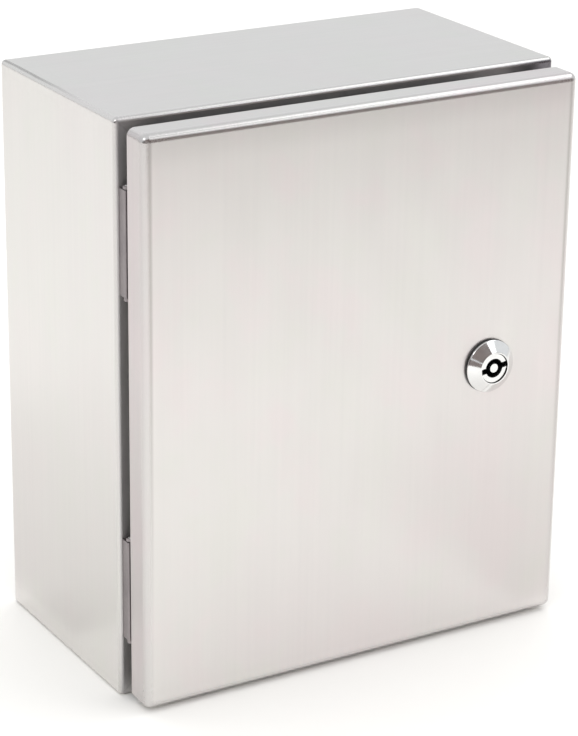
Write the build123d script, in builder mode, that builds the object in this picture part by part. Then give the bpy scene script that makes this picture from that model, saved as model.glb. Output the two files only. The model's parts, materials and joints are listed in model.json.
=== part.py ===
from build123d import *
import os
from math import cos, sin, radians

os.makedirs("parts", exist_ok=True)

# ---------------------------------------------------------------------------
# Driving dimensions, in millimetres.
# Frame: X to the right seen from the front, Y to the back, Z up.
# Origin: bottom centre of the whole enclosure.
# ---------------------------------------------------------------------------
body_w = 250.0          # width over the body
body_h = 300.0          # height over the body
body_d = 125.5          # depth of the body, from the back to the face of its front edge
sheet = 1.5             # sheet thickness of body, door and gland plate
body_bend = 2.5         # outer bend radius of the body
gap = 9.0               # open gap between the body's front edge and the door's flange
door_d = 15.5           # depth of the door's flange
door_side = 2.0         # door edge inside the body's side
door_end = 2.5          # door edge inside the body's top and base
door_bend = 4.0         # outer bend radius of the door, and of its ground corners
rim_w = 20.0            # width of the front edge folded inwards
rim_corner = 8.0        # outer corner radius of the sealing rim
rim_to_gasket = 0.3     # the rim's clearance to the sealing bead

back_y = 78.0
front_y = back_y - body_d                 # face of the folded front edge
door_back_y = front_y - gap               # back edge of the door's flange
door_front_y = door_back_y - door_d       # face of the door
door_in_y = door_front_y + sheet          # inner face of the door's panel
mid_z = body_h / 2

door_w = body_w - 2 * door_side
door_h = body_h - 2 * door_end

gasket_w = 10.0
gasket_t = 5.5
rim_tip_y = door_in_y + gasket_t + rim_to_gasket

# wall fixing holes in the back
wall_x, wall_z, wall_r = 200.0, 250.0, 4.25

# mounting plate on four welded studs
plate_w, plate_h, plate_t = 200.0, 250.0, 2.0
stud_x, stud_z, stud_r, stud_len = 175.0, 225.0, 4.0, 23.0
spacer_r, spacer_len = 7.0, 10.0

# cable opening in the base and its gland plate
gland_y = 12.0
gland_open_x, gland_open_y = 150.0, 60.0
gland_w, gland_d = 176.0, 86.0
gland_gasket_t = 2.0
gland_stud_x, gland_stud_y, gland_stud_r = 162.0, 72.0, 2.5

# earth studs
earth_r = 3.0
earth_body = (107.0, -25.0)               # on the base, x and y
earth_door = (-80.0, 50.0)                # on the door, x and z

# concealed hinges, in the gap at the left
hinge_x = -120.6                          # axis of the pins
hinge_y = -51.8
hinge_r = 2.1                             # radius of the door leaf's ears
hinge_pin_r = 1.25
block_x0, block_x1 = -122.9, -118.3       # sides of the body leaf's pin block
block_y = -53.9                           # its face, towards the door
hinge_half = 28.5                         # half the hinge's height
knuckle_half = 26.6                       # half the height of the pin block
hinge_centres = (("upper", 240.0), ("lower", 60.0))
leaf_t = 2.0
leaf_screw_x = -112.5
leaf_stud_x = -114.4
leaf_dz = 14.0

# quarter-turn lock
lock_x, lock_z = 75.0, 150.0
lock_tilt = 10.0                          # turn of the insert from level, seen from the front
rosette_r = 14.0
rosette_top_r = 8.6
rosette_h = 6.0                           # from the door's face to the rosette's face
seal_t = 1.4
barrel_r = 11.0
barrel_flat = 10.0
barrel_end_y = -53.0
insert_r = 7.9
insert_shaft_r = 6.0
insert_recess = 0.8                       # the insert's face behind the rosette's
key_ring_r, key_pin_r = 5.1, 2.35
run = 0.08                                # running clearance on the radius
fit = 0.02                                # clearance of nuts on studs

rosette_y = door_front_y - rosette_h
lock_axis = Axis((lock_x, 0, lock_z), (0, 1, 0))


def at_front(y):
    """Plane that looks forward at depth y: local x is X, local y is Z, normal -Y."""
    return Plane(origin=(0, y, 0), x_dir=(1, 0, 0), z_dir=(0, -1, 0))


def at_back(y):
    """Plane at depth y with its normal towards the back: local x is -X, local y is Z."""
    return Plane(origin=(0, y, 0), x_dir=(-1, 0, 0), z_dir=(0, 1, 0))


# ---------------------------------------------------------------------------
# Body: folded and seam-welded sheet, with the front edge folded inwards and
# then forwards as the rim that presses into the door's sealing bead
# ---------------------------------------------------------------------------
with BuildPart() as hollow:
    with Locations((0, (front_y + back_y) / 2, mid_z)):
        Box(body_w - 2 * sheet, body_d - 2 * sheet, body_h - 2 * sheet)
    fillet(hollow.edges(), radius=body_bend - sheet)

with BuildPart() as enclosure_body:
    with Locations((0, (front_y + back_y) / 2, mid_z)):
        Box(body_w, body_d, body_h)
    fillet(enclosure_body.edges(), radius=body_bend)
    add(hollow.part, mode=Mode.SUBTRACT)

    # mouth of the body, inside the sealing rim
    with BuildSketch(at_front(front_y + 3 * sheet)):
        with Locations((0, mid_z)):
            RectangleRounded(
                body_w - 2 * (rim_w + sheet), body_h - 2 * (rim_w + sheet), rim_corner - sheet
            )
    extrude(amount=6 * sheet, mode=Mode.SUBTRACT)

    # sealing rim
    with BuildSketch(at_front(front_y + sheet)):
        with Locations((0, mid_z)):
            RectangleRounded(body_w - 2 * rim_w, body_h - 2 * rim_w, rim_corner)
            RectangleRounded(
                body_w - 2 * (rim_w + sheet),
                body_h - 2 * (rim_w + sheet),
                rim_corner - sheet,
                mode=Mode.SUBTRACT,
            )
    extrude(amount=front_y + sheet - rim_tip_y)

    # bends between the folded edge and the rim
    rim_outer_foot = (
        enclosure_body.edges()
        .filter_by_position(Axis.Y, front_y - 0.01, front_y + 0.01)
        .filter_by_position(Axis.X, -body_w / 2 + rim_w - 0.01, body_w / 2 - rim_w + 0.01)
    )
    rim_outer_foot = rim_outer_foot.filter_by_position(
        Axis.Z, rim_w - 0.01, body_h - rim_w + 0.01
    )
    fillet(rim_outer_foot, radius=1.0)
    rim_inner_foot = (
        enclosure_body.edges()
        .filter_by_position(Axis.Y, front_y + sheet - 0.01, front_y + sheet + 0.01)
        .filter_by_position(Axis.X, -body_w / 2 + rim_w, body_w / 2 - rim_w)
    )
    rim_inner_foot = rim_inner_foot.filter_by_position(Axis.Z, rim_w, body_h - rim_w)
    fillet(rim_inner_foot, radius=2.4)

    # welded studs for the mounting plate
    with BuildSketch(at_front(back_y - sheet)):
        with Locations((0, mid_z)):
            with GridLocations(stud_x, stud_z, 2, 2):
                Circle(stud_r)
    extrude(amount=stud_len)

    # welded studs for the gland plate, and the earth stud
    with BuildSketch(Plane.XY.offset(sheet)):
        with Locations((0, gland_y)):
            with GridLocations(gland_stud_x, gland_stud_y, 2, 2):
                Circle(gland_stud_r)
    extrude(amount=10.5)
    with BuildSketch(Plane.XY.offset(sheet)):
        with Locations(earth_body):
            Circle(earth_r)
    extrude(amount=15.0)

    # wall fixing holes
    with BuildSketch(at_front(back_y + 1)):
        with Locations((0, mid_z)):
            with GridLocations(wall_x, wall_z, 2, 2):
                Circle(wall_r)
    extrude(amount=4, mode=Mode.SUBTRACT)

    # cable opening in the base
    with BuildSketch(Plane.XY.offset(-1)):
        with Locations((0, gland_y)):
            RectangleRounded(gland_open_x, gland_open_y, 6)
    extrude(amount=4, mode=Mode.SUBTRACT)

    # clearance holes for the hinge screws in the folded edge
    with BuildSketch(at_front(front_y + 2 * sheet)):
        for _, zc in hinge_centres:
            with Locations((leaf_screw_x, zc - leaf_dz), (leaf_screw_x, zc + leaf_dz)):
                Circle(2.2)
    extrude(amount=4 * sheet, mode=Mode.SUBTRACT)

# ---------------------------------------------------------------------------
# Door: folded pan with welded, ground corners
# ---------------------------------------------------------------------------
with BuildPart() as door_hollow:
    with Locations((0, (door_in_y + door_back_y + 6) / 2, mid_z)):
        Box(door_w - 2 * sheet, door_back_y + 6 - door_in_y, door_h - 2 * sheet)
    fillet(
        door_hollow.edges().filter_by(Axis.Y)
        + door_hollow.faces().sort_by(Axis.Y)[0].edges(),
        radius=door_bend - sheet,
    )

with BuildPart() as door:
    with Locations((0, (door_front_y + door_back_y) / 2, mid_z)):
        Box(door_w, door_d, door_h)
    fillet(
        door.edges().filter_by(Axis.Y) + door.faces().sort_by(Axis.Y)[0].edges(),
        radius=door_bend,
    )
    add(door_hollow.part, mode=Mode.SUBTRACT)

    # hole for the lock's barrel, with two flats
    with BuildSketch(at_front(door_in_y + 1)):
        with Locations((lock_x, lock_z)):
            Circle(barrel_r + 0.2)
            Rectangle(30, 2 * (barrel_flat + 0.15), mode=Mode.INTERSECT)
    extrude(amount=4, mode=Mode.SUBTRACT)

    # welded studs for the hinge leaves, and the earth stud
    with BuildSketch(at_back(door_in_y)):
        for _, zc in hinge_centres:
            with Locations((-leaf_stud_x, zc - leaf_dz), (-leaf_stud_x, zc + leaf_dz)):
                Circle(2.0)
    extrude(amount=8.0)
    with BuildSketch(at_back(door_in_y)):
        with Locations((-earth_door[0], earth_door[1])):
            Circle(earth_r)
    extrude(amount=15.0)

# ---------------------------------------------------------------------------
# Sealing bead, foamed onto the door along the line of the rim
# ---------------------------------------------------------------------------
bead_x = body_w - 2 * rim_w - sheet
bead_z = body_h - 2 * rim_w - sheet
with BuildPart() as door_gasket:
    with BuildSketch(at_back(door_in_y)):
        with Locations((0, mid_z)):
            RectangleRounded(bead_x + gasket_w, bead_z + gasket_w, 13)
            RectangleRounded(bead_x - gasket_w, bead_z - gasket_w, 3, mode=Mode.SUBTRACT)
    extrude(amount=gasket_t)
    fillet(door_gasket.faces().sort_by(Axis.Y)[-1].edges(), radius=2.4)

# ---------------------------------------------------------------------------
# Hinges: body leaf with the middle knuckle, door leaf with the end knuckles,
# captive pin. The hinge stands in the gap, behind the door's flange.
# ---------------------------------------------------------------------------
hinge_parts = []
for side, zc in hinge_centres:
    with BuildPart() as body_leaf:
        # block that carries the pin
        with BuildSketch(Plane.XY.offset(zc - knuckle_half)):
            with Locations(((block_x0 + block_x1) / 2, (block_y + front_y) / 2)):
                Rectangle(block_x1 - block_x0, front_y - block_y)
        extrude(amount=2 * knuckle_half)
        fillet(
            body_leaf.edges()
            .filter_by(Axis.Z)
            .filter_by_position(Axis.X, block_x0 - 0.1, block_x0 + 0.1)
            .filter_by_position(Axis.Y, block_y - 0.1, block_y + 0.1),
            radius=0.9,
        )
        fillet(
            body_leaf.edges()
            .filter_by(Axis.Z)
            .filter_by_position(Axis.X, block_x1 - 0.1, block_x1 + 0.1)
            .filter_by_position(Axis.Y, block_y - 0.1, block_y + 0.1),
            radius=1.8,
        )
        # flat that is screwed to the folded edge
        with BuildSketch(at_front(front_y)):
            with Locations(((block_x1 - 1.0 - 107.5) / 2, zc)):
                Rectangle(-107.5 - block_x1 + 1.0, 2 * knuckle_half)
        extrude(amount=leaf_t)
        fillet(
            body_leaf.edges()
            .filter_by(Axis.Y)
            .filter_by_position(Axis.X, -107.6, -107.4),
            radius=2.0,
        )
        with Locations(
            Plane(origin=(leaf_screw_x, front_y - leaf_t, zc - leaf_dz), z_dir=(0, -1, 0)),
            Plane(origin=(leaf_screw_x, front_y - leaf_t, zc + leaf_dz), z_dir=(0, -1, 0)),
        ):
            CounterSinkHole(radius=2.15, counter_sink_radius=3.85, counter_sink_angle=90, depth=4)
        with BuildSketch(Plane.XY.offset(zc - hinge_half)):
            with Locations((hinge_x, hinge_y)):
                Circle(hinge_pin_r)
        extrude(amount=2 * hinge_half, mode=Mode.SUBTRACT)
    name = side + "_hinge_body_leaf"
    body_leaf.part.label = name
    export_step(body_leaf.part, "parts/" + name + ".step")
    hinge_parts.append((name, body_leaf.part))

    with BuildPart() as door_leaf:
        # angle: one leg on the door's panel, one along the inside of its flange
        with BuildSketch(Plane.XY.offset(zc - hinge_half)):
            with BuildLine():
                Polyline(
                    (-110.2, door_in_y),
                    (-121.2, door_in_y),
                    (-121.2, hinge_y),
                    (-119.2, hinge_y),
                    (-119.2, door_in_y + leaf_t),
                    (-110.2, door_in_y + leaf_t),
                    close=True,
                )
            make_face()
        extrude(amount=2 * hinge_half)
        fillet(
            door_leaf.edges()
            .filter_by(Axis.Z)
            .filter_by_position(Axis.X, -121.3, -121.1)
            .filter_by_position(Axis.Y, door_in_y - 0.1, door_in_y + 0.1),
            radius=3.0,
        )
        fillet(
            door_leaf.edges()
            .filter_by(Axis.Z)
            .filter_by_position(Axis.X, -119.3, -119.1)
            .filter_by_position(Axis.Y, door_in_y + leaf_t - 0.1, door_in_y + leaf_t + 0.1),
            radius=1.0,
        )
        # room for the body leaf's pin block
        with Locations((-120.2, -50.0, zc)):
            Box(4.0, 2 * 5.6, 2 * (knuckle_half + 0.3), mode=Mode.SUBTRACT)
        # ears on the pin
        with BuildSketch(Plane.XY.offset(zc - hinge_half)):
            with Locations((hinge_x, hinge_y)):
                Circle(hinge_r)
        extrude(amount=hinge_half - knuckle_half - 0.3)
        with BuildSketch(Plane.XY.offset(zc + knuckle_half + 0.3)):
            with Locations((hinge_x, hinge_y)):
                Circle(hinge_r)
        extrude(amount=hinge_half - knuckle_half - 0.3)
        with BuildSketch(Plane.XY.offset(zc - hinge_half - 1)):
            with Locations((hinge_x, hinge_y)):
                Circle(hinge_pin_r + run)
        extrude(amount=2 * hinge_half + 2, mode=Mode.SUBTRACT)
        # holes for the door's studs
        with BuildSketch(at_back(door_in_y - 1)):
            with Locations((-leaf_stud_x, zc - leaf_dz), (-leaf_stud_x, zc + leaf_dz)):
                Circle(2.25)
        extrude(amount=6, mode=Mode.SUBTRACT)
    name = side + "_hinge_door_leaf"
    door_leaf.part.label = name
    export_step(door_leaf.part, "parts/" + name + ".step")
    hinge_parts.append((name, door_leaf.part))

    with BuildPart() as pin:
        with BuildSketch(Plane.XY.offset(zc - hinge_half - 0.2)):
            with Locations((hinge_x, hinge_y)):
                Circle(hinge_pin_r)
        extrude(amount=2 * hinge_half + 0.4)
        chamfer(pin.edges().filter_by(GeomType.CIRCLE), length=0.25)
    name = side + "_hinge_pin"
    pin.part.label = name
    export_step(pin.part, "parts/" + name + ".step")
    hinge_parts.append((name, pin.part))

# countersunk screws through the body leaves and the folded edge
with BuildPart() as hinge_screws:
    for _, zc in hinge_centres:
        for dz in (-leaf_dz, leaf_dz):
            with BuildSketch(Plane.XY.offset(zc + dz)):
                with BuildLine():
                    Polyline(
                        (leaf_screw_x, front_y - leaf_t),
                        (leaf_screw_x + 3.8, front_y - leaf_t),
                        (leaf_screw_x + 2.0, front_y - leaf_t + 1.8),
                        (leaf_screw_x + 2.0, front_y + 5.6),
                        (leaf_screw_x + 1.6, front_y + 6.0),
                        (leaf_screw_x, front_y + 6.0),
                        close=True,
                    )
                make_face()
            revolve(axis=Axis((leaf_screw_x, 0, zc + dz), (0, 1, 0)))
            with BuildSketch(at_back(front_y - leaf_t)):
                with Locations((-leaf_screw_x, zc + dz)):
                    RegularPolygon(radius=1.25, side_count=6, major_radius=False)
            extrude(amount=1.3, mode=Mode.SUBTRACT)

# their nuts, behind the folded edge
with BuildPart() as hinge_body_nuts:
    with BuildSketch(at_back(front_y + sheet)):
        for _, zc in hinge_centres:
            with Locations((-leaf_screw_x, zc - leaf_dz), (-leaf_screw_x, zc + leaf_dz)):
                RegularPolygon(radius=3.5, side_count=6, major_radius=False, rotation=30)
                Circle(2.0 + fit, mode=Mode.SUBTRACT)
    extrude(amount=3.2)

# nuts on the door's studs
with BuildPart() as hinge_door_nuts:
    with BuildSketch(at_back(door_in_y + leaf_t)):
        for _, zc in hinge_centres:
            with Locations((-leaf_stud_x, zc - leaf_dz), (-leaf_stud_x, zc + leaf_dz)):
                RegularPolygon(radius=3.5, side_count=6, major_radius=False, rotation=30)
                Circle(2.0 + fit, mode=Mode.SUBTRACT)
    extrude(amount=3.2)

# ---------------------------------------------------------------------------
# Lock: conical rosette with its barrel, seal, nut, double-bit insert, cam
# ---------------------------------------------------------------------------
with BuildPart() as lock_housing:
    with BuildSketch(Plane.XY.offset(lock_z)):
        with BuildLine():
            Polyline(
                (lock_x + insert_r + run, rosette_y),
                (lock_x + rosette_top_r, rosette_y),
                (lock_x + rosette_r - 0.2, rosette_y + 3.85),
                (lock_x + rosette_r, rosette_y + 4.1),
                (lock_x + rosette_r, door_front_y - seal_t),
                (lock_x + barrel_r, door_front_y - seal_t),
                (lock_x + barrel_r, barrel_end_y - 0.6),
                (lock_x + barrel_r - 0.6, barrel_end_y),
                (lock_x + insert_shaft_r + run, barrel_end_y),
                (lock_x + insert_shaft_r + run, -66.0),
                (lock_x + insert_r + run, -66.0),
                close=True,
            )
        make_face()
    revolve(axis=lock_axis)
    fillet(
        lock_housing.edges()
        .filter_by(GeomType.CIRCLE)
        .filter_by(lambda e: abs(e.radius - rosette_top_r) < 0.01),
        radius=0.25,
    )
    # two flats along the barrel
    with Locations(
        (lock_x, (door_front_y + barrel_end_y) / 2 + 1, lock_z + barrel_flat + 5),
        (lock_x, (door_front_y + barrel_end_y) / 2 + 1, lock_z - barrel_flat - 5),
    ):
        Box(40, barrel_end_y - door_front_y + 2, 10, mode=Mode.SUBTRACT)

with BuildPart() as lock_seal:
    with BuildSketch(at_front(door_front_y)):
        with Locations((lock_x, lock_z)):
            Circle(rosette_r + 0.1)
            Circle(barrel_r + 0.2, mode=Mode.SUBTRACT)
    extrude(amount=seal_t)
    fillet(
        lock_seal.edges()
        .filter_by(GeomType.CIRCLE)
        .group_by(SortBy.LENGTH)[-1]
        .sort_by(Axis.Y)[0],
        radius=0.4,
    )

with BuildPart() as lock_nut:
    with BuildSketch(at_back(door_in_y)):
        with Locations((-lock_x, lock_z)):
            RegularPolygon(radius=13.5, side_count=6, major_radius=False, rotation=30)
            Circle(barrel_r + fit, mode=Mode.SUBTRACT)
    extrude(amount=5.0)
    chamfer(
        lock_nut.faces().sort_by(Axis.Y)[-1].edges().filter_by(GeomType.LINE),
        length=0.6,
    )

turn = radians(lock_tilt)
insert_plane = Plane(
    origin=(lock_x, rosette_y, lock_z),
    x_dir=(cos(turn), 0, sin(turn)),
    z_dir=(0, -1, 0),
)
with BuildPart() as lock_insert:
    with BuildSketch(Plane.XY.offset(lock_z)):
        with BuildLine():
            Polyline(
                (lock_x, rosette_y + insert_recess),
                (lock_x + insert_r - 0.3, rosette_y + insert_recess),
                (lock_x + insert_r, rosette_y + insert_recess + 0.3),
                (lock_x + insert_r, -66.2),
                (lock_x + insert_shaft_r, -66.2),
                (lock_x + insert_shaft_r, barrel_end_y + 0.2),
                (lock_x, barrel_end_y + 0.2),
                close=True,
            )
        make_face()
    revolve(axis=lock_axis)
    # square that carries the cam
    with BuildSketch(insert_plane.offset(rosette_y - (barrel_end_y + 0.2))):
        Rectangle(8.0, 8.0)
    extrude(amount=-3.1)
    # key ring and the two bit slots
    with BuildSketch(insert_plane):
        Circle(key_ring_r)
        Rectangle(15.4, 3.0)
        Circle(key_pin_r, mode=Mode.SUBTRACT)
    extrude(amount=-9.0 - insert_recess, mode=Mode.SUBTRACT)
    # tapped hole for the cam's screw
    with BuildSketch(insert_plane.offset(rosette_y + 49.0)):
        Circle(2.5 + fit)
    extrude(amount=11.0, mode=Mode.SUBTRACT)

cam_turn = radians(lock_tilt - 90.0)
cam_plane = Plane(
    origin=(lock_x, 0, lock_z),
    x_dir=(cos(cam_turn), 0, sin(cam_turn)),
    z_dir=(-sin(cam_turn), 0, cos(cam_turn)),
)
cam_hub_y = barrel_end_y + 0.4
cam_tip_y = front_y + sheet + 0.8
cam_t = 3.0
with BuildPart() as lock_cam:
    with BuildSketch(cam_plane):
        with BuildLine():
            Polyline(
                (-9.0, cam_hub_y),
                (11.5, cam_hub_y),
                (20.5, cam_tip_y),
                (41.0, cam_tip_y),
                (41.0, cam_tip_y + cam_t),
                (19.3, cam_tip_y + cam_t),
                (10.3, cam_hub_y + cam_t),
                (-9.0, cam_hub_y + cam_t),
                close=True,
            )
        make_face()
    extrude(amount=8.0, both=True)
    hub_edges = lock_cam.edges().filter_by(Axis.Y).filter_by(
        lambda e: cam_plane.to_local_coords(e.center()).X < -8.9
    )
    fillet(hub_edges, radius=7.5)
    tip_edges = lock_cam.edges().filter_by(Axis.Y).filter_by(
        lambda e: cam_plane.to_local_coords(e.center()).X > 40.9
    )
    fillet(tip_edges, radius=4.0)
    with BuildSketch(insert_plane.offset(rosette_y - cam_hub_y + 1)):
        Rectangle(8.1, 8.1)
    extrude(amount=-6.0, mode=Mode.SUBTRACT)

washer_y = cam_hub_y + cam_t
with BuildPart() as lock_cam_washer:
    with BuildSketch(at_back(washer_y)):
        with Locations((-lock_x, lock_z)):
            Circle(7.0)
            Circle(2.65, mode=Mode.SUBTRACT)
    extrude(amount=1.2)

with BuildPart() as lock_cam_screw:
    with BuildSketch(at_back(washer_y + 1.2)):
        with Locations((-lock_x, lock_z)):
            RegularPolygon(radius=4.0, side_count=6, major_radius=False, rotation=30)
    extrude(amount=3.5)
    chamfer(lock_cam_screw.faces().sort_by(Axis.Y)[-1].edges(), length=0.4)
    with BuildSketch(at_front(washer_y + 1.2)):
        with Locations((lock_x, lock_z)):
            Circle(2.5)
    extrude(amount=11.0)

# ---------------------------------------------------------------------------
# Mounting plate on the welded studs: spacers, plate, washers, nuts
# ---------------------------------------------------------------------------
spacer_y = back_y - sheet - spacer_len
with BuildPart() as mounting_plate_spacers:
    with BuildSketch(at_front(back_y - sheet)):
        with Locations((0, mid_z)):
            with GridLocations(stud_x, stud_z, 2, 2):
                Circle(spacer_r)
                Circle(stud_r + fit, mode=Mode.SUBTRACT)
    extrude(amount=spacer_len)

with BuildPart() as mounting_plate:
    with BuildSketch(at_front(spacer_y)):
        with Locations((0, mid_z)):
            RectangleRounded(plate_w, plate_h, 4)
            with GridLocations(stud_x, stud_z, 2, 2):
                Circle(stud_r + 0.5, mode=Mode.SUBTRACT)
    extrude(amount=plate_t)

with BuildPart() as mounting_plate_washers:
    with BuildSketch(at_front(spacer_y - plate_t)):
        with Locations((0, mid_z)):
            with GridLocations(stud_x, stud_z, 2, 2):
                Circle(8.0)
                Circle(stud_r + 0.2, mode=Mode.SUBTRACT)
    extrude(amount=1.6)

with BuildPart() as mounting_plate_nuts:
    with BuildSketch(at_front(spacer_y - plate_t - 1.6)):
        with Locations((0, mid_z)):
            with GridLocations(stud_x, stud_z, 2, 2):
                RegularPolygon(radius=6.5, side_count=6, major_radius=False)
                Circle(stud_r + fit, mode=Mode.SUBTRACT)
    extrude(amount=6.5)

# ---------------------------------------------------------------------------
# Gland plate inside the base, over the cable opening
# ---------------------------------------------------------------------------
with BuildPart() as gland_plate_gasket:
    with BuildSketch(Plane.XY.offset(sheet)):
        with Locations((0, gland_y)):
            RectangleRounded(gland_w, gland_d, 4)
            RectangleRounded(gland_open_x, gland_open_y, 6, mode=Mode.SUBTRACT)
            with GridLocations(gland_stud_x, gland_stud_y, 2, 2):
                Circle(gland_stud_r + 0.3, mode=Mode.SUBTRACT)
    extrude(amount=gland_gasket_t)

with BuildPart() as gland_plate:
    with BuildSketch(Plane.XY.offset(sheet + gland_gasket_t)):
        with Locations((0, gland_y)):
            RectangleRounded(gland_w, gland_d, 4)
            with GridLocations(gland_stud_x, gland_stud_y, 2, 2):
                Circle(gland_stud_r + 0.3, mode=Mode.SUBTRACT)
    extrude(amount=sheet)

gland_top = sheet + gland_gasket_t + sheet
with BuildPart() as gland_plate_washers:
    with BuildSketch(Plane.XY.offset(gland_top)):
        with Locations((0, gland_y)):
            with GridLocations(gland_stud_x, gland_stud_y, 2, 2):
                Circle(5.0)
                Circle(gland_stud_r + 0.15, mode=Mode.SUBTRACT)
    extrude(amount=1.0)

with BuildPart() as gland_plate_nuts:
    with BuildSketch(Plane.XY.offset(gland_top + 1.0)):
        with Locations((0, gland_y)):
            with GridLocations(gland_stud_x, gland_stud_y, 2, 2):
                RegularPolygon(radius=4.0, side_count=6, major_radius=False)
                Circle(gland_stud_r + fit, mode=Mode.SUBTRACT)
    extrude(amount=4.0)

# ---------------------------------------------------------------------------
# Earth stud fastenings
# ---------------------------------------------------------------------------
with BuildPart() as body_earth_washer:
    with BuildSketch(Plane.XY.offset(sheet)):
        with Locations(earth_body):
            Circle(6.0)
            Circle(earth_r + 0.2, mode=Mode.SUBTRACT)
    extrude(amount=1.6)

with BuildPart() as body_earth_nut:
    with BuildSketch(Plane.XY.offset(sheet + 1.6)):
        with Locations(earth_body):
            RegularPolygon(radius=5.0, side_count=6, major_radius=False)
            Circle(earth_r + fit, mode=Mode.SUBTRACT)
    extrude(amount=5.0)

with BuildPart() as door_earth_washer:
    with BuildSketch(at_back(door_in_y)):
        with Locations((-earth_door[0], earth_door[1])):
            Circle(6.0)
            Circle(earth_r + 0.2, mode=Mode.SUBTRACT)
    extrude(amount=1.6)

with BuildPart() as door_earth_nut:
    with BuildSketch(at_back(door_in_y + 1.6)):
        with Locations((-earth_door[0], earth_door[1])):
            RegularPolygon(radius=5.0, side_count=6, major_radius=False)
            Circle(earth_r + fit, mode=Mode.SUBTRACT)
    extrude(amount=5.0)

# ---------------------------------------------------------------------------
# Write the pieces
# ---------------------------------------------------------------------------
enclosure_body.part.label = "enclosure_body"
export_step(enclosure_body.part, "parts/enclosure_body.step")
door.part.label = "door"
export_step(door.part, "parts/door.step")
door_gasket.part.label = "door_gasket"
export_step(door_gasket.part, "parts/door_gasket.step")
hinge_screws.part.label = "hinge_screws"
export_step(hinge_screws.part, "parts/hinge_screws.step")
hinge_body_nuts.part.label = "hinge_body_nuts"
export_step(hinge_body_nuts.part, "parts/hinge_body_nuts.step")
hinge_door_nuts.part.label = "hinge_door_nuts"
export_step(hinge_door_nuts.part, "parts/hinge_door_nuts.step")
lock_housing.part.label = "lock_housing"
export_step(lock_housing.part, "parts/lock_housing.step")
lock_seal.part.label = "lock_seal"
export_step(lock_seal.part, "parts/lock_seal.step")
lock_nut.part.label = "lock_nut"
export_step(lock_nut.part, "parts/lock_nut.step")
lock_insert.part.label = "lock_insert"
export_step(lock_insert.part, "parts/lock_insert.step")
lock_cam.part.label = "lock_cam"
export_step(lock_cam.part, "parts/lock_cam.step")
lock_cam_washer.part.label = "lock_cam_washer"
export_step(lock_cam_washer.part, "parts/lock_cam_washer.step")
lock_cam_screw.part.label = "lock_cam_screw"
export_step(lock_cam_screw.part, "parts/lock_cam_screw.step")
mounting_plate_spacers.part.label = "mounting_plate_spacers"
export_step(mounting_plate_spacers.part, "parts/mounting_plate_spacers.step")
mounting_plate.part.label = "mounting_plate"
export_step(mounting_plate.part, "parts/mounting_plate.step")
mounting_plate_washers.part.label = "mounting_plate_washers"
export_step(mounting_plate_washers.part, "parts/mounting_plate_washers.step")
mounting_plate_nuts.part.label = "mounting_plate_nuts"
export_step(mounting_plate_nuts.part, "parts/mounting_plate_nuts.step")
gland_plate_gasket.part.label = "gland_plate_gasket"
export_step(gland_plate_gasket.part, "parts/gland_plate_gasket.step")
gland_plate.part.label = "gland_plate"
export_step(gland_plate.part, "parts/gland_plate.step")
gland_plate_washers.part.label = "gland_plate_washers"
export_step(gland_plate_washers.part, "parts/gland_plate_washers.step")
gland_plate_nuts.part.label = "gland_plate_nuts"
export_step(gland_plate_nuts.part, "parts/gland_plate_nuts.step")
body_earth_washer.part.label = "body_earth_washer"
export_step(body_earth_washer.part, "parts/body_earth_washer.step")
body_earth_nut.part.label = "body_earth_nut"
export_step(body_earth_nut.part, "parts/body_earth_nut.step")
door_earth_washer.part.label = "door_earth_washer"
export_step(door_earth_washer.part, "parts/door_earth_washer.step")
door_earth_nut.part.label = "door_earth_nut"
export_step(door_earth_nut.part, "parts/door_earth_nut.step")
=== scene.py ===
import bpy
import json
import math
from mathutils import Matrix, Vector

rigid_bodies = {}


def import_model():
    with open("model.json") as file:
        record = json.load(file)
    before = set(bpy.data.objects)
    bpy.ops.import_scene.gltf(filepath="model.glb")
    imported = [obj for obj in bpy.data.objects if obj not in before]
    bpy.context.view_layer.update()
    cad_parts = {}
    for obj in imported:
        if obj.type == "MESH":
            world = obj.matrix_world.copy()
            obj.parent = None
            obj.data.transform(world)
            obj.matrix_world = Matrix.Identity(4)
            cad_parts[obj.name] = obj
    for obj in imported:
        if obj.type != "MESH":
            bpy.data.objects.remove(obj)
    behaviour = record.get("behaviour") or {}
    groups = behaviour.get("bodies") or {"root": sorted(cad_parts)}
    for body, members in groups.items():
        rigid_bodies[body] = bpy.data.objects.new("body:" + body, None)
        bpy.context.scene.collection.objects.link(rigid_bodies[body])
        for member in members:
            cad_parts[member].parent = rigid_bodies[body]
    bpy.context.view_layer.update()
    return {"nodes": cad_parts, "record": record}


for old in list(bpy.data.objects):
    bpy.data.objects.remove(old)

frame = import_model()
nodes = frame["nodes"]

# ---------------------------------------------------------------------------
# Sizes that the finishes refer to, in metres, in the frame of the part:
# X to the right seen from the front, Y to the back, Z up
# ---------------------------------------------------------------------------
MM = 0.001
BODY_X = 125.0 * MM            # half width of the body
BODY_Z = 300.0 * MM            # height of the body
BODY_FRONT = -47.5 * MM        # face of the folded front edge
BODY_BACK = 78.0 * MM
DOOR_X = 123.0 * MM            # half width of the door
DOOR_HALF_Z = 147.5 * MM       # half height of the door
DOOR_FRONT = -72.0 * MM
MID_Z = 150.0 * MM
LOCK_X, LOCK_Z = 75.0 * MM, 150.0 * MM
ROSETTE_Y = -78.0 * MM
INSERT_Y = -77.2 * MM          # face of the insert, behind the rosette's


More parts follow.
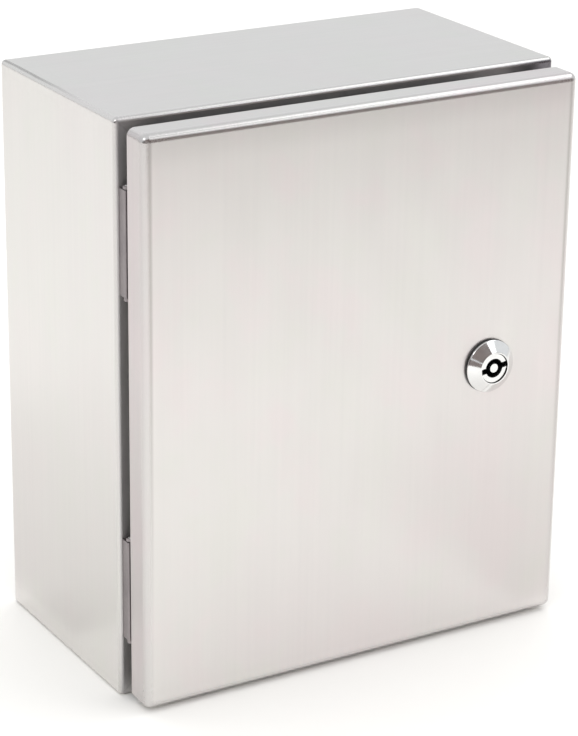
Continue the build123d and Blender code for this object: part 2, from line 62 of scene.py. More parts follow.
# ---------------------------------------------------------------------------
# A small kit for node materials
# ---------------------------------------------------------------------------
class Finish:
    """One procedural material, with the coordinates of the part at hand."""

    def __init__(self, name):
        self.mat = bpy.data.materials.new(name)
        self.mat.use_nodes = True
        self.tree = self.mat.node_tree
        self.tree.nodes.clear()
        self.out = self.add("ShaderNodeOutputMaterial")
        self.bsdf = self.add("ShaderNodeBsdfPrincipled")
        self.join(self.bsdf.outputs[0], self.out.inputs["Surface"])
        coord = self.add("ShaderNodeTexCoord")
        self.place = coord.outputs["Object"]
        self.normal = coord.outputs["Normal"]
        parts = self.add("ShaderNodeSeparateXYZ")
        self.join(self.place, parts.inputs[0])
        self.x, self.y, self.z = parts.outputs[0], parts.outputs[1], parts.outputs[2]

    def add(self, kind, **props):
        n = self.tree.nodes.new(kind)
        for k, v in props.items():
            setattr(n, k, v)
        return n

    def join(self, a, b):
        self.tree.links.new(a, b)

    def put(self, value, socket):
        if isinstance(value, bpy.types.NodeSocket):
            self.join(value, socket)
        else:
            socket.default_value = value

    def math(self, op, a, b=0.0, c=0.0, clamp=False):
        n = self.add("ShaderNodeMath", operation=op, use_clamp=clamp)
        self.put(a, n.inputs[0])
        self.put(b, n.inputs[1])
        self.put(c, n.inputs[2])
        return n.outputs[0]

    def spread(self, value, lo, hi, a=0.0, b=1.0, smooth=False):
        """value from lo..hi to a..b, held at both ends."""
        n = self.add("ShaderNodeMapRange", clamp=True)
        n.interpolation_type = "SMOOTHSTEP" if smooth else "LINEAR"
        self.put(value, n.inputs["Value"])
        n.inputs["From Min"].default_value = lo
        n.inputs["From Max"].default_value = hi
        n.inputs["To Min"].default_value = a
        n.inputs["To Max"].default_value = b
        return n.outputs["Result"]

    def stretched(self, scale, move=(0.0, 0.0, 0.0)):
        n = self.add("ShaderNodeMapping")
        self.join(self.place, n.inputs["Vector"])
        n.inputs["Scale"].default_value = scale
        n.inputs["Location"].default_value = move
        return n.outputs[0]

    def noise(self, scale, detail=2.0, rough=0.5, place=None):
        n = self.add("ShaderNodeTexNoise")
        self.join(self.place if place is None else place, n.inputs["Vector"])
        n.inputs["Scale"].default_value = scale
        n.inputs["Detail"].default_value = detail
        n.inputs["Roughness"].default_value = rough
        return n.outputs["Fac"]

    def cells(self, scale, feature="F1", place=None):
        n = self.add("ShaderNodeTexVoronoi", feature=feature)
        self.join(self.place if place is None else place, n.inputs["Vector"])
        n.inputs["Scale"].default_value = scale
        return n

    def blend(self, fac, a, b, how="MIX"):
        n = self.add("ShaderNodeMix", data_type="RGBA", blend_type=how)
        self.put(fac, n.inputs[0])
        for value, socket in ((a, n.inputs[6]), (b, n.inputs[7])):
            if isinstance(value, tuple) and len(value) == 3:
                value = (*value, 1.0)
            self.put(value, socket)
        return n.outputs[2]

    def mixed(self, fac, a, b):
        n = self.add("ShaderNodeMix", data_type="FLOAT")
        self.put(fac, n.inputs[0])
        self.put(a, n.inputs[2])
        self.put(b, n.inputs[3])
        return n.outputs[0]

    def bump(self, height, distance, strength=1.0, under=None):
        n = self.add("ShaderNodeBump")
        n.inputs["Strength"].default_value = strength
        n.inputs["Distance"].default_value = distance
        self.put(height, n.inputs["Height"])
        if under is not None:
            self.join(under, n.inputs["Normal"])
        return n.outputs[0]

    def radius_from(self, a, a0, b, b0):
        """Distance from an axis, from the two coordinates across it."""
        da = self.math("SUBTRACT", a, a0)
        db = self.math("SUBTRACT", b, b0)
        return self.math("SQRT", self.math("ADD", self.math("MULTIPLY", da, da),
                                           self.math("MULTIPLY", db, db)))

    def mirrored(self, a, centre, offset):
        """Signed distance past +offset and -offset from centre, for things in symmetric pairs."""
        return self.math("SUBTRACT", self.math("ABSOLUTE", self.math("SUBTRACT", a, centre)), offset)

    def finish(self, colour, roughness, normal=None, metallic=1.0):
        self.put((*colour, 1.0) if isinstance(colour, tuple) else colour, self.bsdf.inputs["Base Color"])
        self.put(roughness, self.bsdf.inputs["Roughness"])
        self.bsdf.inputs["Metallic"].default_value = metallic
        if normal is not None:
            self.join(normal, self.bsdf.inputs["Normal"])
        return self.mat


# ---------------------------------------------------------------------------
# Brushed stainless sheet
# ---------------------------------------------------------------------------
def brushed(f):
    """Grain of the sheet: fine lines and broader streaks that run up the upright faces and
    across the level ones. Returns (fine, streaks), both about 0..1."""
    def pair(along_x):
        long_way = (0.02, 1.0, 1.0) if along_x else (1.0, 1.0, 0.02)
        fine = f.noise(2600.0, 2.0, 0.6, f.stretched(long_way))
        streak = f.noise(420.0, 3.0, 0.65, f.stretched(tuple(0.55 * s if s < 1 else s for s in long_way)))
        return fine, streak
    fz, sz = pair(False)
    fx, sx = pair(True)
    parts = f.add("ShaderNodeSeparateXYZ")
    f.join(f.normal, parts.inputs[0])
    level = f.spread(f.math("ABSOLUTE", parts.outputs[2]), 0.60, 0.80)
    return f.mixed(level, fz, fx), f.mixed(level, sz, sx)


def stainless(name, half_x, mid_z, half_z, front, back, bend, extra=None, warmth=1.0, pink=1.0):
    f = Finish(name)
    fine, streak = brushed(f)
    cloud = f.noise(5.5, 2.0, 0.5)
    cloud2 = f.noise(11.0, 2.0, 0.5, f.stretched((1.0, 1.0, 0.6), (3.1, 1.7, 0.4)))
    mottle = f.noise(60.0, 3.0, 0.55, f.stretched((1.0, 1.0, 0.35)))

    # colour: neutral steel that drifts to a faint pink and a faint straw tint
    blue = 0.714 - 0.013 * warmth
    colour = f.blend(f.spread(cloud, 0.38, 0.64), (0.750, 0.731, blue), (0.750 + 0.010 * pink, 0.731 - 0.012 * pink, blue + 0.002))
    colour = f.blend(f.spread(cloud2, 0.42, 0.66), colour, (0.748, 0.732, blue - 0.012 * warmth))
    patch = f.noise(27.0, 3.0, 0.55, f.stretched((1.0, 1.0, 0.8), (5.2, 0.3, 2.2)))
    colour = f.blend(f.spread(patch, 0.51, 0.63, 0.0, 0.75 * pink), colour, (0.768, 0.716, 0.712))
    colour = f.blend(f.spread(patch, 0.45, 0.36, 0.0, 0.60), colour, (0.742, 0.735, blue - 0.010))
    colour = f.blend(f.spread(streak, 0.30, 0.70), colour, f.blend(1.0, colour, (0.984, 0.985, 0.987), "MULTIPLY"))
    colour = f.blend(f.spread(fine, 0.62, 0.80, 0.0, 0.30), colour, f.blend(1.0, colour, (0.93, 0.93, 0.935), "MULTIPLY"))

    rough = f.spread(streak, 0.25, 0.75, 0.325, 0.355)
    rough = f.math("ADD", rough, f.spread(mottle, 0.35, 0.65, -0.012, 0.016))

    # the bends are stretched smoother than the flats, and those along the front and back faces carry painted shade: a
    # colour about 16% darker that stands in for their dimmer reflections
    near_x = f.spread(f.mirrored(f.x, 0.0, half_x - bend), -0.30 * bend, 0.55 * bend, smooth=True)
    near_z = f.spread(f.mirrored(f.z, mid_z, half_z - bend), -0.30 * bend, 0.55 * bend, smooth=True)
    mid_y, half_y = (front + back) / 2, (back - front) / 2
    near_y = f.spread(f.mirrored(f.y, mid_y, half_y - bend), -0.30 * bend, 0.55 * bend, smooth=True)
    edges = f.math("SUBTRACT", f.math("ADD", f.math("ADD", near_x, near_y), near_z), 1.0, clamp=True)
    rough = f.mixed(edges, rough, 0.24)
    bend_shade = f.math("MULTIPLY", edges, near_y)
    colour = f.blend(bend_shade, colour, f.blend(1.0, colour, (0.84, 0.84, 0.845), "MULTIPLY"))

    # corners ground after welding: a cloudy patch of cross scratches
    cx = f.mirrored(f.x, 0.0, half_x)
    cz = f.mirrored(f.z, mid_z, half_z)
    corner = f.math("SQRT", f.math("ADD", f.math("MULTIPLY", cx, cx), f.math("MULTIPLY", cz, cz)))
    ground = f.spread(f.math("ADD", corner, f.spread(mottle, 0.3, 0.7, -0.004, 0.004)), 0.006, 0.020, 1.0, 0.0, smooth=True)
    cross = f.noise(1500.0, 2.0, 0.6, f.stretched((1.0, 0.25, 0.35)))
    rough = f.math("ADD", rough, f.math("MULTIPLY", ground, f.spread(cross, 0.3, 0.7, -0.05, 0.05)))

    height = f.math("ADD", f.math("MULTIPLY", fine, 0.65), f.math("MULTIPLY", streak, 0.35))
    height = f.mixed(f.math("MULTIPLY", ground, 0.7), height, cross)
    normal = f.bump(height, 0.000007, 0.85)
    if extra is not None:
        colour, rough, normal = extra(f, colour, rough, normal)
    return f.finish(colour, rough, normal)


def thread(f, across_a, across_b, along, radius, pitch, tol=0.00025):
    """Height of a thread on a stud whose axis is where both across values are 0, and its mask."""
    r = f.math("SQRT", f.math("ADD", f.math("MULTIPLY", across_a, across_a), f.math("MULTIPLY", across_b, across_b)))
    mask = f.spread(r, radius + tol, radius + 2 * tol, 1.0, 0.0)
    turn = f.math("DIVIDE", f.math("ARCTAN2", across_a, across_b), 2 * math.pi)
    wave = f.math("PINGPONG", f.math("ADD", f.math("DIVIDE", along, pitch), turn), 0.5)
    return f.math("MULTIPLY", wave, mask), mask


def body_details(f, colour, rough, normal):
    # welded seam from the back corner along the top's left edge, ground nearly flush
    top = f.spread(f.z, BODY_Z - 0.0012, BODY_Z - 0.0004)
    wander = f.spread(f.noise(35.0, 2.0, 0.5), 0.3, 0.7, -0.00035, 0.00035)
    off = f.math("ABSOLUTE", f.math("ADD", f.math("ADD", f.x, BODY_X - 0.0017), wander))
    line = f.math("MULTIPLY", f.spread(off, 0.0003, 0.0012, 1.0, 0.0, smooth=True), top)
    line = f.math("MULTIPLY", line, f.spread(f.y, -0.012, 0.040))
    # mitred and welded corners of the folded front edge
    face = f.spread(f.y, BODY_FRONT + 0.0002, BODY_FRONT + 0.0006, 1.0, 0.0)
    dx = f.mirrored(f.x, 0.0, BODY_X)
    dz = f.mirrored(f.z, MID_Z, BODY_Z / 2)
    mitre = f.math("ABSOLUTE", f.math("SUBTRACT", dx, dz))
    mitre = f.math("MULTIPLY", f.spread(mitre, 0.0002, 0.0009, 1.0, 0.0, smooth=True), face)
    near = f.math("MULTIPLY", f.spread(dx, -0.021, -0.0205), f.spread(dz, -0.021, -0.0205))
    mitre = f.math("MULTIPLY", mitre, near)
    # painted shade on the front face of the fold, standing in for the shade in the slit behind the door: darker round
    # each mitred corner, most towards the right end, a little darker over the face between the corners and darker again
    # in a strip at the left end; the face is also rougher
    tint = f.math("MULTIPLY", f.spread(dx, -0.034, -0.006, smooth=True), f.spread(dz, -0.034, -0.006, smooth=True))
    tint = f.math("MULTIPLY", f.math("MULTIPLY", tint, face), f.spread(f.x, -0.10, 0.10, 0.12, 0.90))
    # painted shade over the front face, and more in a strip at its left end
    colour = f.blend(f.math("MULTIPLY", face, f.spread(f.x, -0.122, -0.10, 0.0, 0.4)), colour, (0.56, 0.56, 0.595))
    colour = f.blend(f.math("MULTIPLY", face, f.spread(f.x, -0.1225, -0.1185, 0.35, 0.0)), colour, (0.40, 0.395, 0.42))
    # painted shade round the mitred corners, most towards the right end
    colour = f.blend(tint, colour, (0.175, 0.162, 0.185))
    rough = f.math("ADD", rough, f.math("MULTIPLY", face, f.spread(f.x, -0.122, -0.10, 0.22, 0.0)))
    # blued ring of heat where each stud was welded on
    seam = f.math("MAXIMUM", line, f.math("MULTIPLY", mitre, 0.28))
    colour = f.blend(f.math("MULTIPLY", seam, 0.62), colour, (0.28, 0.27, 0.26))
    normal = f.bump(f.math("MULTIPLY", seam, -1.0), 0.00010, 1.0, normal)
    sx = f.mirrored(f.x, 0.0, 0.0875)
    sz = f.mirrored(f.z, MID_Z, 0.1125)
    behind = f.spread(f.y, BODY_BACK - 0.030, BODY_BACK - 0.0255)
    h1, m1 = thread(f, sx, sz, f.y, 0.004, 0.00125)
    h1 = f.math("MULTIPLY", h1, behind)
    h1 = f.math("MULTIPLY", h1, f.spread(f.y, BODY_BACK - 0.0019, BODY_BACK - 0.0016, 1.0, 0.0))
    inside = f.math("MULTIPLY", f.spread(f.y, -0.035, -0.03), f.spread(f.z, 0.0016, 0.0019))
    gx = f.mirrored(f.x, 0.0, 0.081)
    gy = f.mirrored(f.y, 0.012, 0.036)
    h2, m2 = thread(f, gx, gy, f.z, 0.0025, 0.0008)
    low = f.math("MULTIPLY", inside, f.spread(f.z, 0.0135, 0.0140, 1.0, 0.0))
    h2 = f.math("MULTIPLY", h2, low)
    ex = f.math("SUBTRACT", f.x, 0.107)
    ey = f.math("SUBTRACT", f.y, -0.025)
    h3, m3 = thread(f, ex, ey, f.z, 0.003, 0.001)
    h3 = f.math("MULTIPLY", h3, f.spread(f.z, 0.0016, 0.0019))
    h3 = f.math("MULTIPLY", h3, f.spread(f.z, 0.040, 0.041, 1.0, 0.0))
    ring = f.math("SQRT", f.math("ADD", f.math("MULTIPLY", sx, sx), f.math("MULTIPLY", sz, sz)))
    heat = f.math("MULTIPLY", f.spread(ring, 0.0045, 0.011, 1.0, 0.0, smooth=True), f.spread(f.y, BODY_BACK - 0.0030, BODY_BACK - 0.0010))
    heat = f.math("MULTIPLY", heat, f.spread(f.noise(300.0, 3.0), 0.3, 0.7, 0.5, 1.0))
    colour = f.blend(f.math("MULTIPLY", heat, 0.45), colour, (0.52, 0.42, 0.30))
    threads = f.math("ADD", f.math("MULTIPLY", h1, 1.25), f.math("ADD", f.math("MULTIPLY", h2, 0.8), h3))
    normal = f.bump(threads, 0.0009, 1.0, normal)
    return colour, rough, normal


def door_details(f, colour, rough, normal):
    inner = f.spread(f.y, DOOR_FRONT + 0.0016, DOOR_FRONT + 0.0019)
    sx = f.math("SUBTRACT", f.x, -0.1144)
    up = f.mirrored(f.mirrored(f.z, MID_Z, 0.090), 0.0, 0.014)
    h1, m1 = thread(f, sx, up, f.y, 0.002, 0.0007)
    ex = f.math("SUBTRACT", f.x, -0.080)
    ez = f.math("SUBTRACT", f.z, 0.050)
    h2, m2 = thread(f, ex, ez, f.y, 0.003, 0.001)
    threads = f.math("MULTIPLY", f.math("ADD", f.math("MULTIPLY", h1, 0.7), h2), inner)
    normal = f.bump(threads, 0.0009, 1.0, normal)
    # seams where the flange's corners were welded
    flange = f.spread(f.y, DOOR_FRONT + 0.0055, DOOR_FRONT + 0.0070)
    dx = f.mirrored(f.x, 0.0, DOOR_X)
    dz = f.mirrored(f.z, MID_Z, DOOR_HALF_Z)
    seam = f.spread(f.math("ABSOLUTE", f.math("SUBTRACT", dx, dz)), 0.0001, 0.0006, 1.0, 0.0, smooth=True)
    seam = f.math("MULTIPLY", seam, flange)
    near = f.math("MULTIPLY", f.spread(dx, -0.005, -0.004), f.spread(dz, -0.005, -0.004))
    seam = f.math("MULTIPLY", f.math("MULTIPLY", seam, near), 0.22)
    colour = f.blend(seam, colour, (0.42, 0.40, 0.38))
    normal = f.bump(f.math("MULTIPLY", seam, -1.0), 0.00003, 1.0, normal)
    # painted shade: the left and right flanges are darker and a little pinker than the face, in patches, standing in
    # for their dimmer reflections
    flange_shade = f.math("MULTIPLY", f.spread(f.math("ABSOLUTE", f.x), 0.1208, 0.1225), f.spread(f.y, -0.0712, -0.0680))
    patchy = f.spread(f.noise(38.0, 3.0, 0.6, f.stretched((1.0, 1.0, 0.35))), 0.3, 0.7, 0.8, 1.0)
    colour = f.blend(f.math("MULTIPLY", flange_shade, patchy), colour, f.blend(1.0, colour, (0.80, 0.775, 0.785), "MULTIPLY"))
    # painted shade: a faint darker line where each upright bend begins, fading towards the base, standing in for a dim
    # reflection
    bend_start_shade = f.math("ABSOLUTE", f.mirrored(f.x, 0.0, DOOR_X - 0.0038))
    bend_start_shade = f.math("MULTIPLY", f.spread(bend_start_shade, 0.0000, 0.0017, 1.0, 0.0, smooth=True), f.spread(f.z, 0.05, 0.20))
    bend_start_shade = f.math("MULTIPLY", bend_start_shade, f.spread(f.y, DOOR_FRONT + 0.0003, DOOR_FRONT + 0.0006, 1.0, 0.0))
    colour = f.blend(f.math("MULTIPLY", bend_start_shade, 0.60), colour, (0.42, 0.40, 0.38))
    # painted shade: the face is darker in a band along the top bend, standing in for a dim reflection
    face = f.spread(f.y, DOOR_FRONT + 0.0003, DOOR_FRONT + 0.0006, 1.0, 0.0)
    top = f.spread(f.z, MID_Z + DOOR_HALF_Z - 0.020, MID_Z + DOOR_HALF_Z - 0.004, 0.0, 0.20, smooth=True)
    colour = f.blend(f.math("MULTIPLY", face, top), colour, (0.42, 0.40, 0.395))
    return colour, rough, normal


# ---------------------------------------------------------------------------
# Other finishes
# ---------------------------------------------------------------------------
def cast_hinge():
    f = Finish("hinge_metal_finish")
    grain = f.noise(900.0, 3.0, 0.6)
    soft = f.noise(60.0, 2.0, 0.5)
    draw = f.noise(700.0, 2.0, 0.6, f.stretched((1.0, 1.0, 0.03)))
    colour = f.blend(f.spread(soft, 0.35, 0.65), (0.300, 0.272, 0.280), (0.350, 0.318, 0.322))
    colour = f.blend(f.spread(draw, 0.3, 0.7, 0.0, 0.5), colour, (0.235, 0.212, 0.218))
    rough = f.spread(grain, 0.3, 0.7, 0.36, 0.48)
    h = f.math("ADD", f.math("MULTIPLY", grain, 0.6), f.math("MULTIPLY", draw, 0.4))
    return f.finish(colour, rough, f.bump(h, 0.00004, 0.7))


def turned_steel():
    f = Finish("pin_steel_finish")
    grain = f.noise(1500.0, 2.0, 0.6, f.stretched((1.0, 1.0, 0.6)))
    soft = f.noise(110.0, 2.0, 0.5)
    colour = f.blend(f.spread(soft, 0.35, 0.65), (0.600, 0.590, 0.580), (0.680, 0.670, 0.655))
    rough = f.spread(grain, 0.3, 0.7, 0.24, 0.36)
    return f.finish(colour, rough, f.bump(grain, 0.00002, 0.7))


def plated_lock(name, housing):
    f = Finish(name)
    r = f.radius_from(f.x, LOCK_X, f.z, LOCK_Z)
    comb = f.add("ShaderNodeCombineXYZ")
    f.join(f.math("MULTIPLY", r, 5200.0), comb.inputs[0])
    f.join(f.math("MULTIPLY", f.y, 2600.0), comb.inputs[1])
    turned = f.noise(1.0, 2.0, 0.6, comb.outputs[0])
    haze = f.noise(240.0, 3.0, 0.6)
    scuff = f.noise(1600.0, 2.0, 0.6, f.stretched((1.0, 0.2, 0.45)))
    colour = f.blend(f.spread(haze, 0.35, 0.65), (0.815, 0.812, 0.806), (0.785, 0.785, 0.782))
    rough = f.spread(haze, 0.3, 0.7, 0.075, 0.13)
    rough = f.math("ADD", rough, f.spread(scuff, 0.62, 0.78, 0.0, 0.10))
    height = f.math("ADD", f.math("MULTIPLY", turned, 0.6), f.math("MULTIPLY", haze, 0.4))
    normal = f.bump(height, 0.000006, 0.8)
    if housing:
        # fine thread on the barrel behind the door, and painted shade: the rosette's hole is nearly black from just
        # behind its face inwards, standing in for the shade in the recess
        behind = f.spread(f.y, -0.0703, -0.0700)
        outer = f.spread(r, 0.0104, 0.0106)
        turn = f.math("DIVIDE", f.math("ARCTAN2", f.math("SUBTRACT", f.x, LOCK_X), f.math("SUBTRACT", f.z, LOCK_Z)), 2 * math.pi)
        wave = f.math("PINGPONG", f.math("ADD", f.math("DIVIDE", f.y, 0.0015), turn), 0.5)
        wave = f.math("MULTIPLY", f.math("MULTIPLY", wave, behind), outer)
        normal = f.bump(wave, 0.0012, 1.0, normal)
        bore_shade = f.math("MULTIPLY", f.spread(r, 0.00835, 0.0085, 1.0, 0.0), f.spread(f.y, ROSETTE_Y + 0.00012, ROSETTE_Y + 0.0004))
        colour = f.blend(f.math("MULTIPLY", bore_shade, 0.92), colour, (0.05, 0.05, 0.05))
    else:
        # painted shade: the key ring and bit slots are nearly black below their rims, and so is the insert's edge just
        # below its face, standing in for the shade in these recesses; there they are also rougher
        deep = f.spread(f.y, INSERT_Y + 0.00025, INSERT_Y + 0.0016)
        inside = f.spread(r, 0.00775, 0.0080, 1.0, 0.0)
        recess_shade = f.math("MULTIPLY", deep, inside)
        skirt = f.math("MULTIPLY", f.spread(r, 0.00795, 0.00815), f.spread(f.y, INSERT_Y + 0.00010, INSERT_Y + 0.00035))
        recess_shade = f.math("MAXIMUM", recess_shade, skirt)
        colour = f.blend(f.math("MULTIPLY", recess_shade, 0.965), colour, (0.026, 0.024, 0.024))
        rough = f.mixed(recess_shade, rough, 0.55)
    return f.finish(colour, rough, normal)


def zinc():
    f = Finish("zinc_plated_finish")
    soft = f.noise(160.0, 3.0, 0.6)
    tint = f.noise(90.0, 2.0, 0.5, f.stretched((1.0, 1.0, 1.0), (1.3, 0.2, 0.7)))
    fine = f.noise(1800.0, 2.0, 0.6)
    colour = f.blend(f.spread(soft, 0.35, 0.65), (0.640, 0.645, 0.640), (0.740, 0.740, 0.725))
    colour = f.blend(f.spread(tint, 0.52, 0.70, 0.0, 0.55), colour, (0.730, 0.700, 0.600))
    colour = f.blend(f.spread(tint, 0.48, 0.30, 0.0, 0.45), colour, (0.600, 0.640, 0.700))
    rough = f.spread(fine, 0.3, 0.7, 0.26, 0.40)
    return f.finish(colour, rough, f.bump(fine, 0.00002, 0.8))


def galvanised():
    f = Finish("galvanised_finish")
    warp = f.noise(90.0, 2.0, 0.5)
    push = f.add("ShaderNodeVectorMath", operation="ADD")
    f.join(f.place, push.inputs[0])
    comb = f.add("ShaderNodeCombineXYZ")
    f.join(f.spread(warp, 0.3, 0.7, -0.002, 0.002), comb.inputs[0])
    f.join(f.spread(warp, 0.3, 0.7, 0.002, -0.002), comb.inputs[2])
    f.join(comb.outputs[0], push.inputs[1])
    flat = f.add("ShaderNodeMapping")
    f.join(push.outputs[0], flat.inputs["Vector"])
    flat.inputs["Scale"].default_value = (1.0, 0.0, 0.75)
    spangle = f.cells(150.0, "F1", flat.outputs[0])
    shade = f.add("ShaderNodeSeparateColor")
    f.join(spangle.outputs["Color"], shade.inputs[0])
    border = f.cells(150.0, "DISTANCE_TO_EDGE", flat.outputs[0])
    fern = f.noise(420.0, 4.0, 0.65, f.stretched((1.0, 1.0, 0.5)))
    fine = f.noise(1500.0, 2.0, 0.6)
    colour = f.blend(shade.outputs[0], (0.545, 0.555, 0.568), (0.680, 0.685, 0.690))
    colour = f.blend(f.spread(fern, 0.3, 0.7, 0.0, 0.5), colour, (0.600, 0.610, 0.620))
    rough = f.spread(shade.outputs[1], 0.0, 1.0, 0.30, 0.50)
    h = f.math("ADD", f.spread(border.outputs["Distance"], 0.0, 0.06), f.math("MULTIPLY", fern, 0.5))
    h = f.math("ADD", h, f.math("MULTIPLY", fine, 0.25))
    return f.finish(colour, rough, f.bump(h, 0.00004, 0.8))


def foam():
    f = Finish("foam_bead_finish")
    pores = f.cells(1300.0)
    soft = f.noise(130.0, 2.0, 0.5)
    fine = f.noise(2600.0, 2.0, 0.6)
    colour = f.blend(f.spread(soft, 0.35, 0.65), (0.050, 0.050, 0.052), (0.068, 0.067, 0.068))
    colour = f.blend(f.spread(pores.outputs["Distance"], 0.05, 0.25, 0.5, 0.0), colour, (0.026, 0.026, 0.027))
    rough = f.spread(fine, 0.3, 0.7, 0.72, 0.88)
    h = f.math("ADD", f.spread(pores.outputs["Distance"], 0.0, 0.4), f.math("MULTIPLY", fine, 0.3))
    h = f.math("ADD", h, f.math("MULTIPLY", soft, 1.2))
    return f.finish(colour, rough, f.bump(h, 0.00012, 0.9), metallic=0.0)


def rubber():
    f = Finish("black_rubber_finish")
    fine = f.noise(1900.0, 3.0, 0.65)
    soft = f.noise(140.0, 2.0, 0.5)
    colour = f.blend(f.spread(soft, 0.3, 0.7), (0.016, 0.016, 0.017), (0.028, 0.027, 0.027))
    colour = f.blend(f.spread(fine, 0.60, 0.75, 0.0, 0.5), colour, (0.045, 0.045, 0.044))
    rough = f.spread(fine, 0.3, 0.7, 0.52, 0.70)
    return f.finish(colour, rough, f.bump(fine, 0.00004, 0.8), metallic=0.0)


body_steel = stainless("body_stainless", BODY_X, MID_Z, BODY_Z / 2, BODY_FRONT, BODY_BACK, 0.0025, body_details, 0.2, 0.3)
door_steel = stainless("door_stainless", DOOR_X, MID_Z, DOOR_HALF_Z, DOOR_FRONT, 0.05, 0.0040, door_details, 0.1)
gland_steel = stainless("gland_stainless", 0.088, 0.00425, 0.00075, -0.031, 0.055, 0.0003)
hinge_metal = cast_hinge()
pin_steel = turned_steel()
housing_chrome = plated_lock("rosette_chrome", True)
insert_chrome = plated_lock("insert_chrome", False)
zinc_plated = zinc()
galvanised_sheet = galvanised()
foam_bead = foam()
black_rubber = rubber()

FINISHES = {
    "enclosure_body": body_steel,
    "door": door_steel,
    "gland_plate": gland_steel,
    "lock_insert": insert_chrome,
    "lock_housing": housing_chrome,
    "lock_nut": housing_chrome,
}
BY_SLOT = {
    "hinge_metal": hinge_metal,
    "pin_steel": pin_steel,
    "zinc_plated": zinc_plated,
    "galvanised": galvanised_sheet,
    "foam_bead": foam_bead,
    "black_rubber": black_rubber,
}
slot_of = {s["node"]: s["material_slot"] for s in frame["record"]["subparts"]}
for name, obj in nodes.items():
    finish = FINISHES.get(name) or BY_SLOT[slot_of[name]]
    for i in range(len(obj.material_slots)):
        obj.material_slots[i].material = finish

# ---------------------------------------------------------------------------
# Floor, light and camera
# ---------------------------------------------------------------------------
def plane(name, corners, material):
    mesh = bpy.data.meshes.new(name)
    mesh.from_pydata([Vector(c) for c in corners], [], [tuple(range(len(corners)))])
    mesh.materials.append(material)
    obj = bpy.data.objects.new(name, mesh)
    bpy.context.scene.collection.objects.link(obj)
    return obj


def plain_surface(name, colour, rough):
    m = bpy.data.materials.new(name)
    m.use_nodes = True
    b = m.node_tree.nodes["Principled BSDF"]
    b.inputs["Base Color"].default_value = (*colour, 1.0)
    b.inputs["Roughness"].default_value = rough
    return m


floor = plane("floor", [(-40, -40, 0), (40, -40, 0), (40, 40, 0), (-40, 40, 0)],
              plain_surface("floor_white", (0.945, 0.925, 0.895), 0.9))

# dim cloths beyond the white table, which only the gloss of the metal sees
def hide_from_all_but_gloss(obj):
    obj.visible_camera = False
    obj.visible_diffuse = False
    obj.visible_shadow = False
    obj.visible_transmission = False
    return obj


def surround(name, radius, az_from, az_to, low, high, material, steps=24):
    """Part of an upright drum round the object, azimuth 0 in front. low and high are its edges
    at both ends of the arc."""
    verts, faces = [], []
    for i in range(steps + 1):
        t = i / steps
        a = math.radians(az_from + (az_to - az_from) * t)
        x, y = radius * math.sin(a), -radius * math.cos(a)
        verts += [(x, y, low[0] + (low[1] - low[0]) * t), (x, y, high[0] + (high[1] - high[0]) * t)]
        if i:
            k = 2 * i
            faces.append((k - 2, k, k + 1, k - 1))
    mesh = bpy.data.meshes.new(name)
    mesh.from_pydata(verts, [], faces)
    mesh.materials.append(material)
    obj = bpy.data.objects.new(name, mesh)
    bpy.context.scene.collection.objects.link(obj)
    return hide_from_all_but_gloss(obj)


grey_cloth = plain_surface("grey_cloth", (0.262, 0.219, 0.208), 1.0)
dark_cloth = plain_surface("dark_cloth", (0.10, 0.095, 0.09), 1.0)
pale_cloth = plain_surface("pale_cloth", (0.60, 0.59, 0.58), 1.0)
surround("dim_front", 3.0, -80.0, 62.0, (0.02, 0.02), (0.62, 0.62), grey_cloth)
surround("dim_front_high", 3.05, 12.0, 46.0, (0.60, 0.60), (1.45, 1.45), grey_cloth)
surround("dim_wing_high", 3.1, -50.0, 25.0, (0.85, 0.80), (2.00, 3.35), grey_cloth)
surround("dim_wing_low", 2.9, -74.0, -46.0, (0.10, 0.10), (0.95, 1.30), dark_cloth)
surround("dim_back", 3.2, 120.0, 250.0, (0.0, 0.0), (0.36, 0.36), pale_cloth)


def floor_card(name, x0, y0, x1, y1, material):
    hide_from_all_but_gloss(plane(name, [(x0, y0, 0.003), (x1, y0, 0.003), (x1, y1, 0.003), (x0, y1, 0.003)], material))


floor_card("dim_floor_front", -3.0, -3.0, 3.0, -1.15, grey_cloth)
# painted shade on the floor as the metal reflects it: two gloss-only cards a little dimmer than the floor, beside the
# body's left face and in front of the door's right half
card_grey = plain_surface("card_grey", (0.80, 0.775, 0.75), 1.0)
card_pale = plain_surface("card_pale", (0.80, 0.77, 0.745), 1.0)
floor_card("card_left", -0.30, 0.02, -0.135, 0.34, card_grey)
floor_card("card_right", 0.11, -0.30, 0.48, -0.085, card_pale)


def softbox(name, place, aim, width, height, power, colour=(1.0, 1.0, 1.0), gloss=True):
    data = bpy.data.lights.new(name, "AREA")
    data.shape = "RECTANGLE"
    data.size, data.size_y = width, height
    data.energy = power
    data.color = colour
    obj = bpy.data.objects.new(name, data)
    bpy.context.scene.collection.objects.link(obj)
    obj.location = place
    obj.rotation_euler = (Vector(aim) - Vector(place)).to_track_quat("-Z", "Y").to_euler()
    obj.visible_camera = False
    obj.visible_glossy = gloss
    return obj


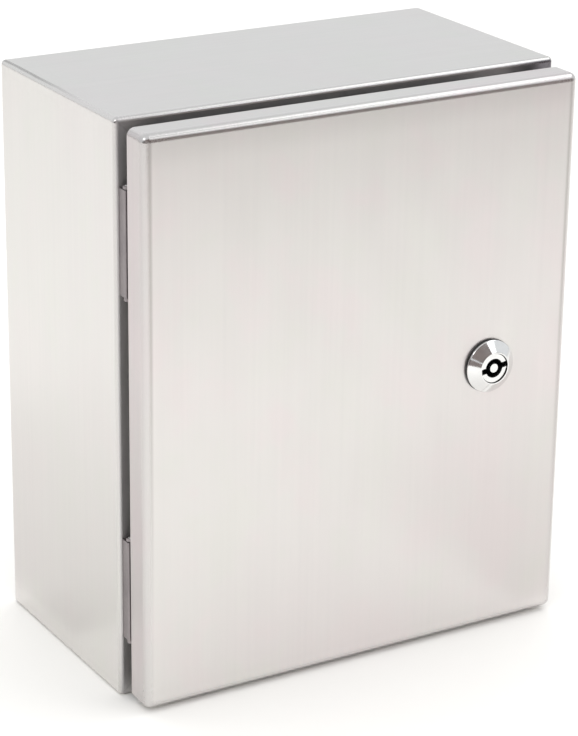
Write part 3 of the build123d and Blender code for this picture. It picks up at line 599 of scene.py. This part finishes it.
softbox("fill_back", (0.3, 1.6, 2.2), (0.2, 1.0, 0.0), 3.0, 3.0, 20.0, gloss=False)
softbox("fill_front", (-0.45, -1.0, 0.95), (-0.05, -0.15, 0.0), 0.5, 0.5, 3.0, gloss=False)
softbox("fill_lock_side", (1.04, -1.46, 1.56), (0.075, -0.078, 0.15), 0.6, 0.6, 0.9, gloss=False)
softbox("fill_right", (0.95, -0.45, 2.60), (0.3, -0.1, 0.0), 1.5, 1.5, 7.0, gloss=False)
softbox("key_right", (1.30, -0.35, 1.90), (0.0, 0.0, 0.2), 1.15, 0.80, 3.6)
softbox("key_front", (1.113, -1.407, 1.66), (0.075, -0.078, 0.15), 0.8, 0.38, 1.0)
softbox("key_left", (-1.35, -0.75, 1.75), (0.0, 0.0, 0.2), 0.8, 0.8, 4.5)

world = bpy.data.worlds.new("studio")
bpy.context.scene.world = world
world.use_nodes = True
sky = world.node_tree.nodes["Background"]
sky.inputs["Color"].default_value = (0.970, 0.992, 1.010, 1.0)
sky.inputs["Strength"].default_value = 0.90

scene = bpy.context.scene
scene.view_settings.view_transform = "Standard"
scene.view_settings.look = "None"
scene.view_settings.exposure = 0.0
scene.view_settings.gamma = 1.0

# Camera at the photograph's angle, from the front left and above
YAW, PITCH, ROLL = math.radians(30.8199), math.radians(20.8846), math.radians(0.7877)
forward = Vector((math.sin(YAW) * math.cos(PITCH), math.cos(YAW) * math.cos(PITCH), -math.sin(PITCH)))
right = Vector((math.cos(YAW), -math.sin(YAW), 0.0))
up = right.cross(forward)
right2 = math.cos(ROLL) * right + math.sin(ROLL) * up
up2 = -math.sin(ROLL) * right + math.cos(ROLL) * up
cam_data = bpy.data.cameras.new("camera")
cam_data.sensor_width = 36.0
cam_data.lens = 2643.836 / 736.0 * 36.0
cam_data.clip_start, cam_data.clip_end = 0.05, 100.0
camera = bpy.data.objects.new("camera", cam_data)
scene.collection.objects.link(camera)
turn = Matrix((right2, up2, -forward)).transposed().to_4x4()
camera.matrix_world = Matrix.Translation((-0.659606, -1.104695, 0.628846)) @ turn
scene.camera = camera

bpy.context.view_layer.update()
